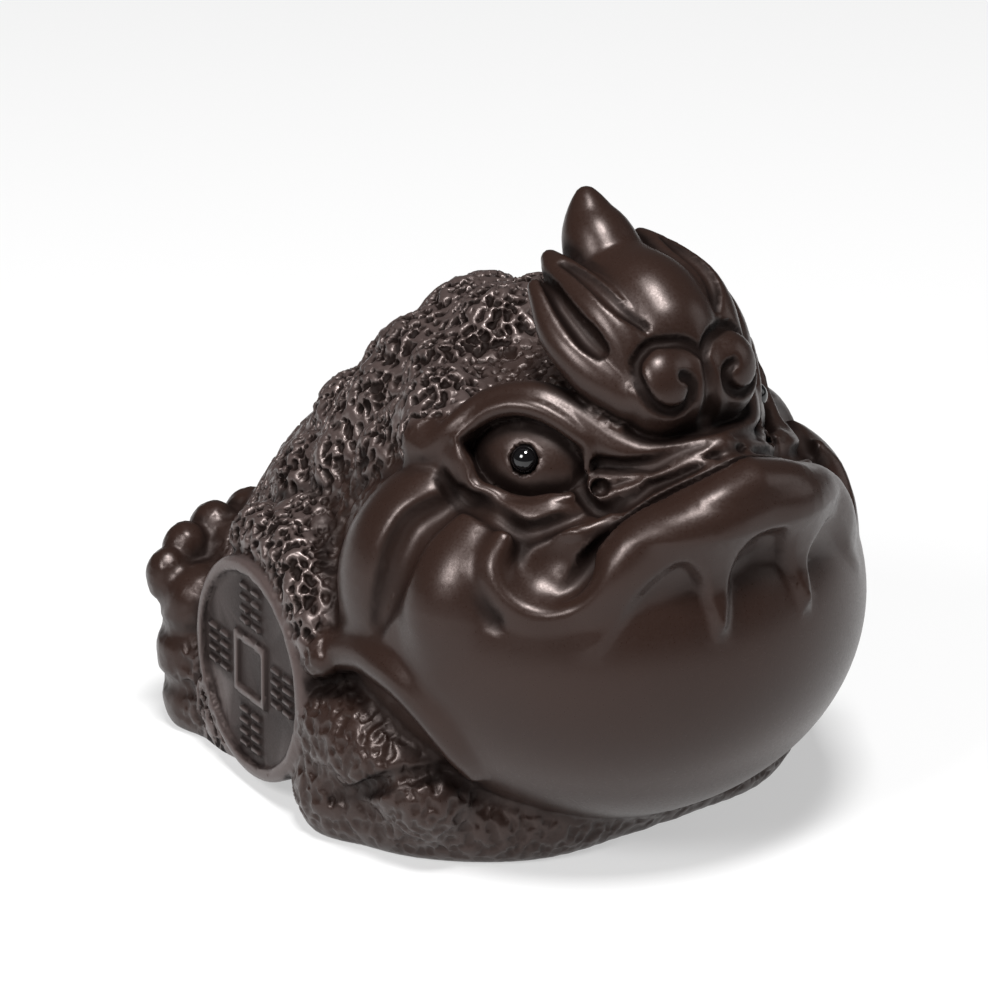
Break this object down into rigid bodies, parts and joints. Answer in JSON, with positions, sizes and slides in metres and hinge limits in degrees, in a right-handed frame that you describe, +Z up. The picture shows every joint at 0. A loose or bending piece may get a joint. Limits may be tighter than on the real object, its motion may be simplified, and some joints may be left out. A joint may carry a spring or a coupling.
{
  "type": "money toad figure",
  "caption": "Squat toad ornament in dark clay with a flame crest on its brow, inset eye beads and a coin seal on each flank; it rests on a flat underside.",
  "frame": {"origin": "centre of the figure's bounding box, on the flat underside that it stands on", "axes": "+Z up, -Y the way the toad faces, +X its own left side; the figure is symmetric about X = 0"},
  "size_m": [0.0826, 0.1076, 0.088],
  "materials": {
    "clay": "satin",
    "bead_glaze": "gloss"
  },
  "bodies": {
    "root": {"toad_body": "clay", "right_eye_bead": "bead_glaze", "left_eye_bead": "bead_glaze"}
  },
  "joints": []
}
